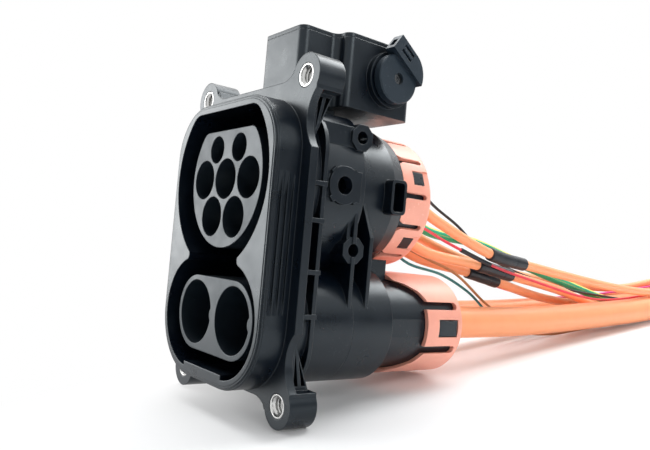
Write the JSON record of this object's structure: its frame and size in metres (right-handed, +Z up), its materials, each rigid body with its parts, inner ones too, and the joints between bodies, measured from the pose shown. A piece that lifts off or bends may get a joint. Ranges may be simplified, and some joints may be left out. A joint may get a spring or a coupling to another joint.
{
  "type": "charge port inlet",
  "caption": "Vehicle charge inlet with AC and DC contact islands in one collar, bolt-on flange, motor lock on top, orange rear caps and a short wiring tail.",
  "frame": {"origin": "centre of the flange's four bolt holes on the flange's front face", "axes": "-Y out of the front towards the plug, +Z up from the DC contacts to the AC contacts, +X to the right seen from the front"},
  "size_m": [0.0844, 0.3711, 0.1428],
  "materials": {
    "housing_plastic": "matte",
    "contact_plastic": "matte",
    "tip_plastic": "matte",
    "lever_plastic": "satin",
    "sensor_plastic": "matte",
    "gear_plastic": "satin",
    "cap_plastic": "satin",
    "insert_metal": "machined",
    "screw_steel": "blackened",
    "motor_metal": "satin",
    "pin_metal": "silver plated",
    "seal_rubber": "matte",
    "orange_jacket": "satin",
    "earth_jacket": "satin",
    "sleeve_film": "satin",
    "black_jacket": "satin",
    "blue_jacket": "satin",
    "red_jacket": "satin",
    "teal_jacket": "satin",
    "brown_jacket": "satin",
    "pink_jacket": "satin"
  },
  "bodies": {
    "inlet": {"housing": "housing_plastic", "rear_barrels": "housing_plastic", "ac_contact_block": "contact_plastic", "dc_contact_block": "contact_plastic", "ac_contact_carrier": "contact_plastic", "dc_contact_carrier": "contact_plastic", "flange_inserts": "insert_metal", "ac_power_pins": "pin_metal", "ac_earth_pin": "pin_metal", "ac_signal_pins": "pin_metal", "dc_power_pins": "pin_metal", "dc_pin_tips": "tip_plastic", "ac_pin_retainer": "contact_plastic", "dc_pin_retainer": "contact_plastic", "ac_wire_seal": "seal_rubber", "dc_wire_seal": "seal_rubber", "temperature_sensors": "sensor_plastic", "ac_rear_cap": "cap_plastic", "dc_rear_cap": "cap_plastic", "actuator_housing": "housing_plastic", "actuator_lid": "housing_plastic", "actuator_screws": "insert_metal", "drive_motor": "motor_metal", "lock_switch": "contact_plastic", "lock_pin_seal": "seal_rubber", "dc_cable_right": "orange_jacket", "dc_cable_left": "orange_jacket", "ac_cable_l1": "orange_jacket", "ac_cable_l2": "orange_jacket", "ac_cable_l3": "orange_jacket", "ac_cable_n": "orange_jacket", "earth_cable": "earth_jacket", "cable_sleeves": "sleeve_film", "wire_black": "black_jacket", "wire_blue": "blue_jacket", "wire_red": "red_jacket", "wire_teal": "teal_jacket", "wire_brown": "brown_jacket", "wire_pink": "pink_jacket"},
    "release_shaft": {"drive_gear": "motor_metal", "release_lever": "lever_plastic", "release_screw": "screw_steel"},
    "transfer_shaft": {"transfer_gear": "gear_plastic"},
    "lock": {"lock_pin": "insert_metal"}
  },
  "joints": [
    {"name": "release_turn", "type": "hinge", "parent": "inlet", "child": "release_shaft", "pos_m": [0.0277, 0.045, 0.0643], "axis": [1, 0, 0], "range_deg": [-61, 0]},
    {"name": "transfer_turn", "type": "hinge", "parent": "inlet", "child": "transfer_shaft", "pos_m": [0, 0.029, 0.0643], "axis": [1, 0, 0], "range_deg": [0, 61]},
    {"name": "lock_slide", "type": "slide", "parent": "inlet", "child": "lock", "axis": [0, 0, 1], "range_m": [-0.0064, 0]}
  ],
  "couplings": [
    {"joint": "transfer_turn", "follows": "release_turn", "ratio": -1},
    {"joint": "lock_slide", "follows": "release_turn", "m_per_rad": 0.006}
  ]
}
